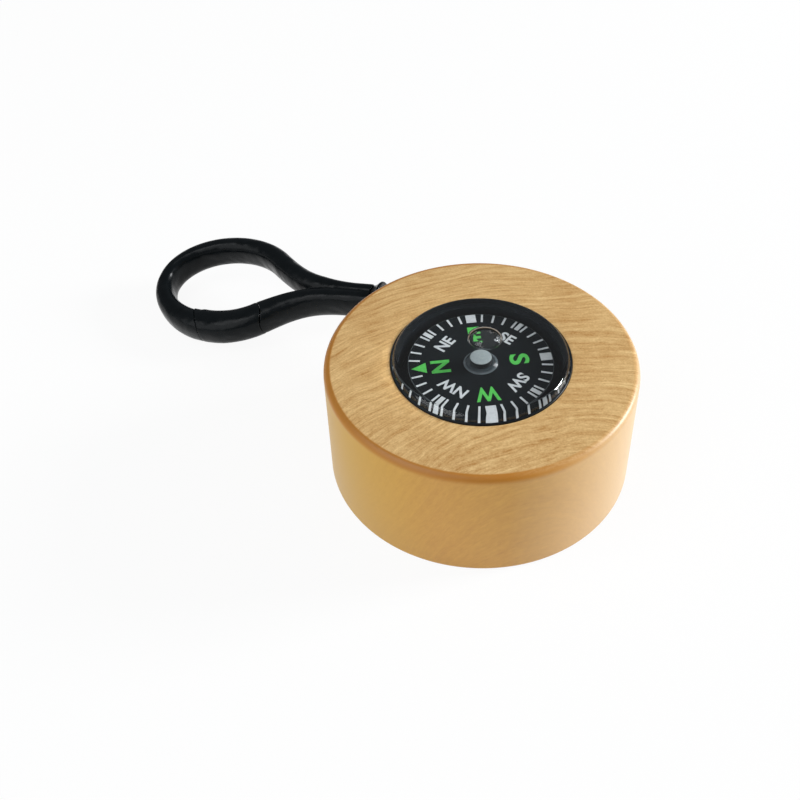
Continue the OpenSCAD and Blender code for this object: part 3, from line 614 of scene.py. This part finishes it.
finish(joined(clear_body, bubble), "lens_and_liquid", acrylic, "case", sharp=15,
    stands_for=["capsule_lens", "damping_fluid"], has_void=True)

# Screw eye. Nickel-plated steel wire, bent round into an eye that lies flat, with a screw thread
# rolled on its shank. It is driven into the side of the disc until the eye almost meets the wood.
EYE_HOLE, EYE_WIRE, EYE_GAP = 1.2, 0.45, 0.3
EYE_AT = DISC_R + EYE_GAP + EYE_HOLE + 2 * EYE_WIRE
EYE_RING = EYE_HOLE + EYE_WIRE
EYE_CENTRE = Vector((EYE_AT * math.cos(EYE_AZ), EYE_AT * math.sin(EYE_AZ), DISC_H / 2))
SHANK_AT, SHANK_JOINS = (12.6, 14.0, 16.0, 17.4, 17.9, 18.1), 0.15
THREAD_TURNS, THREAD_STEPS, THREAD_L = 6, 24, 4.6
THREAD_R, THREAD_WIRE, THREAD_RUNS_IN, THREAD_RUNS_OUT = 0.5, 0.32, 4, 8
POINT = [(0, 11.55), (0.12, 11.7), (0.45, 12.7), (0, 12.7)]
# Nickel plate: a bright warm grey mirror, dulled in patches of half a millimetre
nickel, tree, surface, place = start_material("nickel-plated steel wire", "#C9C5BC", 0.18,
    Metallic=1.0)
drawn = add_node(tree, "ShaderNodeTexNoise", {"Vector": place, "Scale": 1800.0,
    "Detail": 3.0}).outputs["Fac"]
worn = add_node(tree, "ShaderNodeMapRange", {"Value": drawn, "From Min": 0.3, "From Max": 0.7,
    "To Min": 0.14, "To Max": 0.32})
tree.links.new(worn.outputs[0], surface.inputs["Roughness"])
plating = add_node(tree, "ShaderNodeMix", {"Factor": drawn, "A": to_linear("#BDB8AE"),
    "B": to_linear("#D6D3CC")}, data_type="RGBA").outputs["Result"]
tree.links.new(plating, surface.inputs["Base Color"])

wire, given = start_rule("Wire along a path", ("Path", "Geometry"), ("Radius", "Float"),
    ("Sides", "Int"), ("Material", "Material"))
as_curve = add_node(wire, "GeometryNodeMeshToCurve", {"Mesh": given["Path"]})
section = add_node(wire, "GeometryNodeCurvePrimitiveCircle", {"Resolution": given["Sides"],
    "Radius": given["Radius"]})
tube = add_node(wire, "GeometryNodeCurveToMesh", {"Curve": as_curve.outputs[0],
    "Profile Curve": section.outputs[0], "Fill Caps": True})
end_rule(wire, tube.outputs[0], given["Material"])


def wire_along(points, radius, sides=24):
    """A round wire through these points, closed at its ends."""
    line = bmesh.new()
    verts = [line.verts.new(p) for p in points]
    for pair in zip(verts, verts[1:]):
        line.edges.new(pair)
    made = by_rule(wire, {"Radius": radius, "Sides": sides, "Material": nickel}, scratch(line))
    bmesh.ops.remove_doubles(made, verts=made.verts, dist=0.0005)
    return made


outward = Vector((math.cos(EYE_AZ), math.sin(EYE_AZ), 0))
sideways = Vector((-outward.y, outward.x, 0))
bend = [EYE_CENTRE + EYE_RING * (math.cos(t) * outward + math.sin(t) * sideways)
    for t in [math.radians(a) for a in range(-168, 169, 4)]]
shank = [EYE_CENTRE - outward * (EYE_AT - s) for s in SHANK_AT]
shank.append(EYE_CENTRE - outward * (EYE_RING + SHANK_JOINS))
eye_wire = wire_along(shank + bend, EYE_WIRE)
thread = []
for i in range(THREAD_TURNS * THREAD_STEPS):
    share = i / (THREAD_TURNS * THREAD_STEPS - 1)
    t = 2 * math.pi * THREAD_TURNS * share
    taper = min(1.0, share * THREAD_RUNS_IN) * min(1.0, (1 - share) * THREAD_RUNS_OUT)
    thread.append(towards_eye @ (Vector((0, 0, SHANK_AT[0] + THREAD_L * share))
        + THREAD_R * taper * Vector((math.cos(t), math.sin(t), 0))))
point = revolve(POINT, 32)
point.transform(towards_eye)
finish(joined(eye_wire, wire_along(thread, THREAD_WIRE, sides=8), point), "screw_eye_wire", nickel,
    "case", stands_for=["screw_eye"])

# Jump ring. A single turn of the same plated wire, its cut ends closed against each other on top.
# It hangs loose in the screw eye and carries the swivel eye.
RING_HOLE, RING_WIRE, RING_CUT, RING_STEPS = 1.925, 0.35, 1.1, 120
RING_R = RING_HOLE + RING_WIRE
RING_AZ, RING_DROP = math.radians(175.4), math.radians(4.6)
LINK_SLACK = 0.06


def aim(azimuth, drop):
    """The direction at this azimuth that falls by this angle."""
    return Vector((math.cos(drop) * math.cos(azimuth), math.cos(drop) * math.sin(azimuth),
        -math.sin(drop)))


ring_aim = aim(RING_AZ, RING_DROP)
RING_CENTRE = EYE_CENTRE + (EYE_HOLE - RING_WIRE - LINK_SLACK + RING_R) * ring_aim
ring_up = ring_aim.cross(Vector((-math.sin(RING_AZ), math.cos(RING_AZ), 0)))
ring_turns = [math.radians(RING_CUT + (360 - 2 * RING_CUT) * i / RING_STEPS)
    for i in range(RING_STEPS + 1)]
ring_points = [RING_CENTRE + RING_R * (math.sin(t) * ring_aim + math.cos(t) * ring_up)
    for t in ring_turns]
finish(wire_along(ring_points, RING_WIRE), "jump_ring_wire", nickel, "link_ring",
    stands_for=["jump_ring"])

# Swivel eye. Injection-moulded black nylon: a flat eye, a round collar that covers the joint, and a
# headed stem that is snapped into the hook's neck, in which it turns.
HOOK_AZ, HOOK_DROP, HOOK_ROLL = math.radians(159.3), math.radians(7.8), math.radians(-12.5)
SWIVEL_HOLE, SWIVEL_WALL, SWIVEL_T, WEB, WEB_ROOT = 1.15, 0.82, 1.36, 0.5, 0.1
COLLAR_R, COLLAR_T, COLLAR_EASE, COLLAR_RIM = 2.5, 1.2, 0.15, 0.3
COLLAR_DOME = [(0.3, -0.55), (0.5, -0.22), (0.58, 0.02)]
STEM_R, STEM_L, STEM_ROOT, HEAD_R, HEAD_RIM, HEAD_L = 1.0, 3.5, 0.2, 1.35, 0.3, 0.6
SWIVEL_GRAIN, SWIVEL_SOFT = 0.07, 6
HOOK_ORIGIN = (RING_CENTRE + RING_R * ring_aim
    + (RING_WIRE + LINK_SLACK + WEB + COLLAR_T) * aim(HOOK_AZ, HOOK_DROP))
at_hook = (Matrix.Translation(HOOK_ORIGIN) @ Matrix.Rotation(HOOK_AZ, 4, "Z")
    @ Matrix.Rotation(HOOK_DROP, 4, "Y") @ Matrix.Rotation(HOOK_ROLL, 4, "X"))
along_hook = Matrix.Rotation(math.pi / 2, 4, "Y")
# Moulded nylon: soft black, its sheen broken by a skin of 1.7 mm ripples
nylon, tree, surface, place = start_material("moulded black nylon", "#0F1315", 0.26,
    Specular_IOR_Level=0.14)
skin = add_node(tree, "ShaderNodeTexNoise", {"Vector": place, "Scale": 600.0, "Detail": 3.0,
    "Roughness": 0.6}).outputs["Fac"]
sheen = add_node(tree, "ShaderNodeMapRange", {"Value": skin, "From Min": 0.3, "From Max": 0.7,
    "To Min": 0.2, "To Max": 0.34})
tree.links.new(sheen.outputs[0], surface.inputs["Roughness"])
skin_tint = add_node(tree, "ShaderNodeMix", {"Factor": skin, "A": to_linear("#06090B"),
    "B": to_linear("#0F1417")}, data_type="RGBA").outputs["Result"]
tree.links.new(skin_tint, surface.inputs["Base Color"])
skin_relief = add_node(tree, "ShaderNodeBump", {"Height": skin, "Strength": 0.1,
    "Distance": 0.00006})
# Sink marks two millimetres wide break the highlights into soft spots
sinks = add_node(tree, "ShaderNodeTexNoise", {"Vector": place, "Scale": 520.0,
    "Detail": 1.0}).outputs["Fac"]
sunk = add_node(tree, "ShaderNodeBump", {"Height": sinks, "Strength": 0.5, "Distance": 0.0004,
    "Normal": skin_relief.outputs[0]})
tree.links.new(sunk.outputs[0], surface.inputs["Normal"])


def box(x0, x1, y0, y1, z0, z1):
    """A block between two corners."""
    bm = bmesh.new()
    bmesh.ops.create_cube(bm, size=1)
    bm.transform(Matrix.Translation(((x0 + x1) / 2, (y0 + y1) / 2, (z0 + z1) / 2))
        @ Matrix.Diagonal((x1 - x0, y1 - y0, z1 - z0, 1)))
    return bm


def moulded(bm, grain, softness):
    """Fuses overlapping closed parts into one skin with the soft edges of a moulding."""
    made = scratch(bm)
    fuse = made.modifiers.new("Fuse", "REMESH")
    fuse.mode = "VOXEL"
    fuse.voxel_size = grain
    soft = made.modifiers.new("Soft", "SMOOTH")
    soft.iterations = softness
    return settle(made)


eye_out = SWIVEL_HOLE + SWIVEL_WALL
eye_x = -COLLAR_T - WEB - SWIVEL_HOLE
at_eye = Matrix.Translation((eye_x, 0, 0))
plate = rod(eye_out, -SWIVEL_T / 2, SWIVEL_T / 2, at_eye)
web = box(eye_x, -COLLAR_T + WEB_ROOT, -eye_out, eye_out, -SWIVEL_T / 2, SWIVEL_T / 2)
collar = revolve([(0, -COLLAR_T), (COLLAR_R - COLLAR_EASE, -COLLAR_T),
    (COLLAR_R, -COLLAR_T + COLLAR_EASE), (COLLAR_R, -COLLAR_T + COLLAR_RIM)]
    + [(COLLAR_R - drop, x) for drop, x in COLLAR_DOME] + [(0, COLLAR_DOME[-1][1])], 96)
collar.transform(along_hook)
stem = revolve([(0, -STEM_ROOT), (STEM_R, -STEM_ROOT), (STEM_R, STEM_L), (HEAD_R, STEM_L),
    (HEAD_R, STEM_L + HEAD_RIM), (STEM_R, STEM_L + HEAD_L), (0, STEM_L + HEAD_L)], 64)
stem.transform(along_hook)
swivel = cut(joined(plate, web), rod(SWIVEL_HOLE, -SWIVEL_T, SWIVEL_T, at_eye))
swivel = moulded(joined(swivel, collar, stem), SWIVEL_GRAIN, SWIVEL_SOFT)
finish(swivel, "swivel_eye_moulding", nylon, "swivel", at_hook, 60, ["swivel_eye"])

# Hook. Black nylon in one moulding: a round neck that holds the swivel's stem, a closed arm that
# runs round the loop to the nose, and a short arm with a tongue on which the gate turns.
HOOK_T, LOOP_A, LOOP_B, LOOP_X = 4.02, 9.0, 6.5, 21.2
NECK_R, NECK_TAPER, NECK_END = 2.0, (0.14, 0.1), 0.66
NECK_L, NECK_NOSE, NECK_GAP = 5.0, 2, 0.06
ARM_FROM, ARM_OFFSET, ARM_REACH, BEND_REACH = 0.64, 0.7, 0.6, 5 / 9
ARM_W, TIP_W, NOSE_W, GATE_W = 2.9, 2.15, 3.0, 3.75
ROOT_SHARE, SHOULDER_SHARE = 0.88, 0.9
SWELL, SLIM, SLIM_STEPS = 0.45, 0.34, 12
ROOT_STEPS, ARM_STEPS, LOOP_STEPS, PIVOT_STEPS = 8, 40, 90, 12
JOIN_AT, NOSE_AT, PIVOT_AT, SLANT = 135, 78.5, 120, 35
GATE_END, GATE_GAP, TONGUE_T, TONGUE_R = 2.8, 0.06, 1.4, 1.1
PIN_HOLE, STEM_SLACK, HOOK_GRAIN, HOOK_SOFT = 0.55, 0.05, 0.11, 6
SQUARENESS = 2.6


def on_loop(angle):
    """Point and heading on the loop's oval, heading towards the tip from the gate's arm."""
    t = math.radians(angle)
    heading = math.degrees(math.atan2(-LOOP_B * math.cos(t), LOOP_A * math.sin(t)))
    return LOOP_X + LOOP_A * math.cos(t), LOOP_B * math.sin(t), heading


join_x, join_y, join_heading = on_loop(JOIN_AT)
join_run = Vector((math.cos(math.radians(join_heading)), math.sin(math.radians(join_heading))))
arm_curve = [Vector((NECK_L * ARM_FROM, ARM_OFFSET)),
    Vector((NECK_L * ARM_FROM + LOOP_A * ARM_REACH, ARM_OFFSET)),
    Vector((join_x, join_y)) - LOOP_A * BEND_REACH * join_run, Vector((join_x, join_y))]


def on_arm(t):
    """Point and heading on the arm's curve from the neck to the oval."""
    a, b, c, d = arm_curve
    p = (1 - t) ** 3 * a + 3 * t * (1 - t) ** 2 * b + 3 * t * t * (1 - t) * c + t ** 3 * d
    v = (1 - t) ** 2 * (b - a) + 2 * t * (1 - t) * (c - b) + t * t * (d - c)
    return p.x, p.y, math.degrees(math.atan2(v.y, v.x))


def sweep(stations, sides=44):
    """A squared oval bar through (x, y, heading, width, offset) stations."""
    def bulged(value):
        return math.copysign(abs(value) ** (2 / SQUARENESS), value)

    bm = bmesh.new()
    rows = []
    for x, y, heading, width, offset in stations:
        h = math.radians(heading)
        row = []
        for k in range(sides):
            a = 2 * math.pi * k / sides
            out = bulged(math.cos(a)) * width / 2 + offset
            up = bulged(math.sin(a)) * HOOK_T / 2
            row.append(bm.verts.new((x - math.sin(h) * out, y + math.cos(h) * out, up)))
        rows.append(row)
    for first, second in zip(rows, rows[1:]):
        for k in range(sides):
            m = (k + 1) % sides
            bm.faces.new((first[k], first[m], second[m], second[k]))
    bm.faces.new(rows[0])
    bm.faces.new(rows[-1][::-1])
    return bm


def leaned(station, angle):
    """The station turned by an angle for a slanted end, widened so that the bar stays as wide."""
    x, y, heading, width, offset = station
    return x, y, heading + angle, width / math.cos(math.radians(angle)), offset


arm_x, arm_y = arm_curve[0]
far_path, near_path = [], []
for i in range(ROOT_STEPS):
    x = NECK_GAP + (arm_x - NECK_GAP) * i / ROOT_STEPS
    far_path.append((x, -arm_y, 0, ARM_W * ROOT_SHARE - SLIM, SLIM / 2))
    near_path.append((x, arm_y, 0, ARM_W * ROOT_SHARE, 0))
for i in range(ARM_STEPS):
    t = i / ARM_STEPS
    x, y, heading = on_arm(t)
    slim = SLIM * max(0.0, 1 - i / SLIM_STEPS)
    far_path.append((x, -y, -heading, part_way(ARM_W * SHOULDER_SHARE, ARM_W, t) - slim, slim / 2))
    near_path.append((x, y, heading, part_way(ARM_W * SHOULDER_SHARE, GATE_W, t ** 2), 0))
for i in range(LOOP_STEPS + 1):
    angle = part_way(-JOIN_AT, NOSE_AT, i / LOOP_STEPS)
    x, y, heading = on_loop(angle)
    if angle < 0:
        width = part_way(ARM_W, TIP_W, angle / JOIN_AT + 1)
    else:
        width = part_way(TIP_W, NOSE_W, angle / NOSE_AT)
    swell = SWELL * max(0.0, angle / NOSE_AT) ** 1.2
    far_path.append((x, y, heading + 180, width + swell, -swell / 2))
far_path[-1] = leaned(far_path[-1], SLANT)
for i in range(PIVOT_STEPS + 1):
    near_path.append((*on_loop(part_way(JOIN_AT, PIVOT_AT, i / PIVOT_STEPS)), GATE_W, 0))
pivot_x, pivot_y, pivot_heading = on_loop(PIVOT_AT)
pivot_spot = Matrix.Translation((pivot_x, pivot_y, 0))
at_pivot = pivot_spot @ Matrix.Rotation(math.radians(pivot_heading), 4, "Z")
near_arm = cut(sweep(near_path), rod(GATE_END + GATE_GAP, -HOOK_T, HOOK_T, pivot_spot, 96))
neck = revolve([(0, NECK_GAP), (NECK_R - NECK_TAPER[0], NECK_GAP),
    (NECK_R - NECK_TAPER[1], NECK_L), (NECK_R * NECK_END, NECK_L + NECK_NOSE),
    (0, NECK_L + NECK_NOSE)], 96)
neck.transform(along_hook)
tongue = joined(box(-GATE_END - GATE_W / 3, 0, -TONGUE_R, TONGUE_R, -TONGUE_T / 2, TONGUE_T / 2),
    rod(TONGUE_R, -TONGUE_T / 2, TONGUE_T / 2))
tongue.transform(at_pivot)
hook = moulded(joined(sweep(far_path), near_arm, neck, tongue), HOOK_GRAIN, HOOK_SOFT)
bore_r, bore_head_r = STEM_R + STEM_SLACK, HEAD_R + STEM_SLACK
bore_end = STEM_L + HEAD_L + STEM_SLACK
bore = revolve([(0, -CUT_PAST), (bore_r, -CUT_PAST), (bore_r, STEM_L - STEM_SLACK),
    (bore_head_r, STEM_L - STEM_SLACK), (bore_head_r, bore_end), (0, bore_end)], 64)
bore.transform(along_hook)
hook = cut(hook, bore, rod(PIN_HOLE, -TONGUE_T, TONGUE_T, pivot_spot, 48))
finish(hook, "hook_moulding", nylon, "hook", at_hook, 50, ["hook_body"])

# Gate. The same black nylon: a bar that closes the loop, forked over the tongue at its round end
# and cut on a slant at the nose, with a small lip for the thumb. A steel pin holds it.
GATE_FROM, GATE_STEPS, GATE_LIP, LIP_FADE, SWOLLEN_AT = 23, 48, 0.4, (9, 0.35), 0.6
GATE_GRAIN, GATE_SOFT = 0.09, 4
SLOT_PLAY, SLOT_ROUND, GATE_PIN_HOLE, PIN_DEEP = 0.2, 0.15, 0.52, 1.45
gate_path = [(*on_arm(i / ARM_STEPS), GATE_W, 0) for i in range(GATE_FROM, ARM_STEPS)]
tip_at = NOSE_AT + math.degrees(GATE_GAP / LOOP_A) / math.cos(math.radians(SLANT))
for i in range(GATE_STEPS + 1):
    t = i / GATE_STEPS
    lip = GATE_LIP * t * min(1.0, (1 - t) * LIP_FADE[0] + LIP_FADE[1])
    swell = SWELL * min(1.0, t / SWOLLEN_AT)
    gate_path.append((*on_loop(part_way(JOIN_AT, tip_at, t)),
        part_way(GATE_W, NOSE_W, t) + lip + swell, (swell - lip) / 2))
gate_path[-1] = leaned(gate_path[-1], SLANT)
behind = cut(box(-3 * GATE_END, 0, -GATE_W, GATE_W, -HOOK_T, HOOK_T),
    rod(GATE_END, -2 * HOOK_T, 2 * HOOK_T, steps=96))
slot_r, slot_t = TONGUE_R + SLOT_ROUND, TONGUE_T + SLOT_PLAY
slot = box(-2 * GATE_END, 0, -GATE_W, slot_r, -slot_t / 2, slot_t / 2)
slot_end = rod(slot_r, -slot_t / 2, slot_t / 2, steps=64)
for cutter in (behind, slot, slot_end):
    cutter.transform(at_pivot)
gate = moulded(cut(sweep(gate_path), behind, slot, slot_end), GATE_GRAIN, GATE_SOFT)
gate = cut(gate, rod(GATE_PIN_HOLE, -HOOK_T, PIN_DEEP, at_pivot, 48))
finish(gate, "gate_moulding", nylon, "gate_bar", at_hook, 50, ["gate"])
dress("gate_pin", steel)

# Gate spring. A strip of spring steel seated in the hook and in the gate, which bends as the gate
# opens and shuts it again. It is made of short lengths, so that it bends smoothly.
LEAF_T, LEAF_H, LEAF_Y = 0.2, 1.1, 0.825
LEAF_FROM, LEAF_STEP, LEAF_COUNT, LEAF_BENDS = -2.7, 0.2, 31, 0.9
leaf = joined(*[box(LEAF_FROM + LEAF_STEP * i, LEAF_FROM + LEAF_STEP * (i + 1),
    LEAF_Y - LEAF_T / 2, LEAF_Y + LEAF_T / 2, -LEAF_H / 2, LEAF_H / 2) for i in range(LEAF_COUNT)])
bmesh.ops.remove_doubles(leaf, verts=leaf.verts, dist=0.001)
inner_faces = [f for f in leaf.faces if all(len(e.link_faces) > 2 for e in f.edges)]
bmesh.ops.delete(leaf, geom=inner_faces, context="FACES")
leaf.transform(at_pivot)
leaf_piece = finish(leaf, "gate_leaf_spring", steel, None, at_hook,
    stands_for=["gate_spring"])
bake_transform(leaf_piece)

# Table and light. A flat white sheet of card, a bright window on the right, softer light from the
# left and from overhead, and a camera that looks down at forty-five degrees, as in the photograph.
TABLE_HALF, TABLE_WHITE = 1.5, 0.92
DAYLIGHT = (0.96, 0.98, 1.0)
IMAGE, FILM = 800, 36.0
FOCAL, ELEVATION, ROLL = 1175.396, math.radians(44.666), math.radians(2.6896)
CENTRE_X, CENTRE_Y = 392.95, 385.59
CAMERA_AT = (-9.848, -94.271, 104.802)
# White card: even, matt and shadowed, and a plain white to the camera, in gloss and through glass
white_card, tree, surface, place = start_material("white card table", "#F4F4F3", 0.9)
shown_white = add_node(tree, "ShaderNodeEmission", {"Color": (1, 1, 1, 1), "Strength": 1.0})
ray = add_node(tree, "ShaderNodeLightPath").outputs
seen_white = ray["Is Camera Ray"]
for kind in ("Is Transmission Ray", "Is Glossy Ray"):
    seen_white = add_node(tree, "ShaderNodeMath", {0: seen_white, 1: ray[kind]},
        operation="MAXIMUM").outputs[0]
share = add_node(tree, "ShaderNodeMath", {0: seen_white, 1: TABLE_WHITE}, operation="MULTIPLY")
table_look = add_node(tree, "ShaderNodeMixShader", {0: share.outputs[0], 1: surface.outputs[0],
    2: shown_white.outputs[0]})
tree.links.new(table_look.outputs[0], tree.nodes["Material Output"].inputs["Surface"])
sheet = bmesh.new()
bmesh.ops.create_grid(sheet, x_segments=8, y_segments=8, size=TABLE_HALF)
sheet_mesh = bpy.data.meshes.new("table")
sheet.to_mesh(sheet_mesh)
sheet.free()
sheet_mesh.materials.append(white_card)
table = bpy.data.objects.new("table", sheet_mesh)
bpy.context.scene.collection.objects.link(table)

world = bpy.data.worlds.new("room")
bpy.context.scene.world = world
world.use_nodes = True
tree = world.node_tree
room = tree.nodes["Background"]
room.inputs["Color"].default_value = (0.93, 0.97, 1.0, 1.0)
room.inputs["Strength"].default_value = 0.25
backdrop = add_node(tree, "ShaderNodeBackground", {"Color": (1, 1, 1, 1), "Strength": 1.0})
ray = add_node(tree, "ShaderNodeLightPath").outputs
around = add_node(tree, "ShaderNodeMixShader", {0: ray["Is Camera Ray"], 1: room.outputs[0],
    2: backdrop.outputs[0]})
tree.links.new(around.outputs[0], tree.nodes["World Output"].inputs["Surface"])


def lamp(name, azimuth, elevation, distance, size, power):
    """A square soft light that looks at the object; azimuth from +X towards +Y, in degrees."""
    light = bpy.data.lights.new(name, "AREA")
    light.size = size
    light.energy = power
    light.color = DAYLIGHT
    made = bpy.data.objects.new(name, light)
    bpy.context.scene.collection.objects.link(made)
    spot = aim(math.radians(azimuth), -math.radians(elevation)) * distance
    made.matrix_world = (Matrix.Translation(spot)
        @ spot.to_track_quat("Z", "Y").to_matrix().to_4x4())


lamp("window", 10, 20, 0.6, 0.16, 4.6)
lamp("overhead", 190, 65, 0.6, 0.25, 0.5)
lamp("left fill", 213, 35, 0.6, 0.6, 1.8)

camera = bpy.data.cameras.new("camera")
camera.sensor_width = FILM
camera.lens = FOCAL / IMAGE * FILM
camera.shift_x = (IMAGE / 2 - CENTRE_X) / IMAGE
camera.shift_y = (CENTRE_Y - IMAGE / 2) / IMAGE
camera.clip_start = 0.005
camera.clip_end = 10.0
viewer = bpy.data.objects.new("camera", camera)
bpy.context.scene.collection.objects.link(viewer)
forward = Vector((0, math.cos(ELEVATION), -math.sin(ELEVATION)))
level, above = Vector((1, 0, 0)), Vector((0, math.sin(ELEVATION), math.cos(ELEVATION)))
right = math.cos(ROLL) * level - math.sin(ROLL) * above
up = math.sin(ROLL) * level + math.cos(ROLL) * above
looking = Matrix((right, up, -forward)).transposed().to_4x4()
viewer.matrix_world = Matrix.Translation(Vector(CAMERA_AT) * MM) @ looking
bpy.context.scene.camera = viewer
bpy.context.scene.view_settings.view_transform = "Standard"
